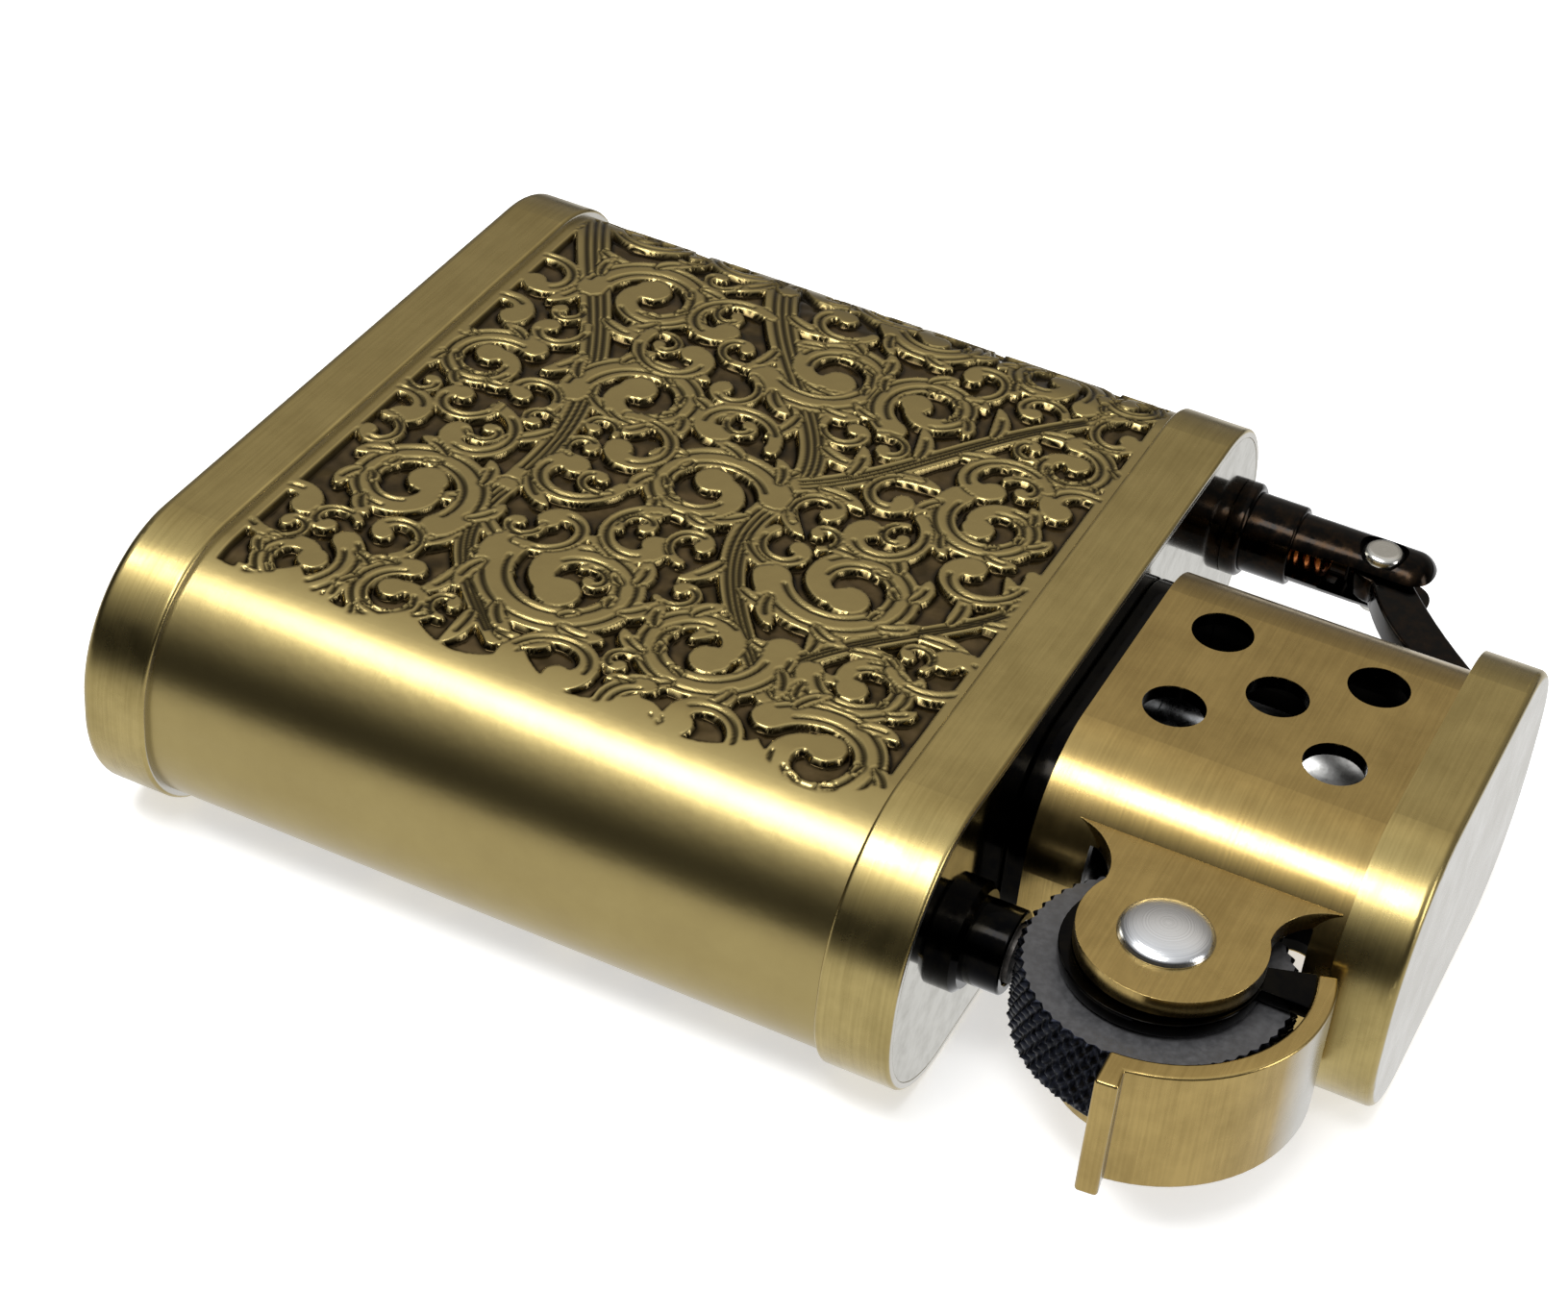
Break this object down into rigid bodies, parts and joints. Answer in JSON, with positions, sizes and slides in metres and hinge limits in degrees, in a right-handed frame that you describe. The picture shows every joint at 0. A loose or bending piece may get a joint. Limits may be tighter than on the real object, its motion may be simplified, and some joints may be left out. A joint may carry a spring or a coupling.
{
  "type": "flint wheel oil lighter",
  "caption": "Pocket oil lighter with an engraved round-cornered case, perforated chimney, flint wheel with curved thumb trigger, and a hinged snuffer cap.",
  "frame": {"origin": "centre of the base's underside, at mid-depth of the case", "axes": "+X from the base to the cap, +Z out of the front face, -Y towards the flint wheel and trigger; the lighter lies on its back"},
  "size_m": [0.0526, 0.0413, 0.0132],
  "materials": {
    "brass_satin": "antique satin brass",
    "brass_engraved": "antique brass, engraved, dark ground",
    "brass_polished": "polished brass",
    "steel_dark": "blackened polished steel",
    "steel_wheel": "hardened knurled steel",
    "steel_bright": "bright steel",
    "spring_copper": "copper-washed spring wire",
    "spring_steel": "spring wire",
    "felt": "felt and cotton",
    "wick_glass": "braided wick",
    "gasket": "rubber",
    "flint": "ferrocerium"
  },
  "bodies": {
    "case": {"base_cup": "brass_satin", "tank_shell": "brass_engraved", "collar": "brass_satin", "deck_plate": "brass_polished", "base_felt": "felt", "fuel_packing": "felt", "flint_tube": "steel_dark", "flint_ferrule": "brass_polished", "wick_tube": "steel_bright", "wick": "wick_glass", "burner_base": "steel_dark", "chimney": "brass_satin", "wheel_ear_front": "brass_satin", "wheel_ear_back": "brass_satin", "wheel_axle": "steel_bright", "hinge_post": "steel_dark", "hinge_ferrule": "steel_bright", "hinge_pin": "steel_bright", "hinge_plunger": "steel_dark", "hinge_spring": "spring_copper", "flint_spring": "spring_steel", "trigger_spring": "spring_steel"},
    "wheel": {"flint_wheel": "steel_wheel", "ratchet_wheel": "steel_wheel"},
    "trigger": {"trigger_cover": "brass_satin", "trigger_cheek_front": "steel_dark", "trigger_cheek_back": "steel_dark", "pawl_pin": "steel_bright"},
    "pawl_arm": {"pawl": "steel_dark"},
    "cap": {"cap_shell": "brass_satin", "cap_liner": "brass_polished", "snuffer_cup": "steel_bright", "snuffer_pad": "felt", "cap_arm": "steel_dark"},
    "flint_column": {"flint_plunger": "brass_polished", "flint": "flint"},
    "flint_plug": {"flint_screw": "steel_bright"},
    "filler_plug": {"filler_screw": "steel_bright", "filler_gasket": "gasket"}
  },
  "joints": [
    {"name": "cap_open", "type": "hinge", "parent": "case", "child": "cap", "pos_m": [0.043, 0.0175, 0], "axis": [0, 0, 1], "range_deg": [0, 105]},
    {"name": "trigger_pull", "type": "hinge", "parent": "case", "child": "trigger", "pos_m": [0.0441, -0.0137, 0], "axis": [0, 0, 1], "range_deg": [-35, 0], "stiffness_Nm_per_rad": 0.02, "springref_deg": 20.05, "deforming": ["trigger_spring"]},
    {"name": "wheel_spin", "type": "hinge", "parent": "case", "child": "wheel", "pos_m": [0.0441, -0.0137, 0], "axis": [0, 0, 1], "continuous": true},
    {"name": "pawl_rock", "type": "hinge", "parent": "trigger", "child": "pawl_arm", "pos_m": [0.04878, -0.01292, 0], "axis": [0, 0, 1], "range_deg": [-10, 0], "stiffness_Nm_per_rad": 0.0002, "springref_deg": 11.46},
    {"name": "flint_feed", "type": "slide", "parent": "case", "child": "flint_column", "axis": [1, 0, 0], "range_m": [-0.002, 0], "stiffness_N_per_m": 120, "springref_m": 0.01, "deforming": ["flint_spring"]},
    {"name": "flint_screw_out", "type": "slide", "parent": "case", "child": "flint_plug", "axis": [-1, 0, 0], "range_m": [0, 0.008]},
    {"name": "filler_screw_out", "type": "slide", "parent": "case", "child": "filler_plug", "axis": [-1, 0, 0], "range_m": [0, 0.006]}
  ]
}
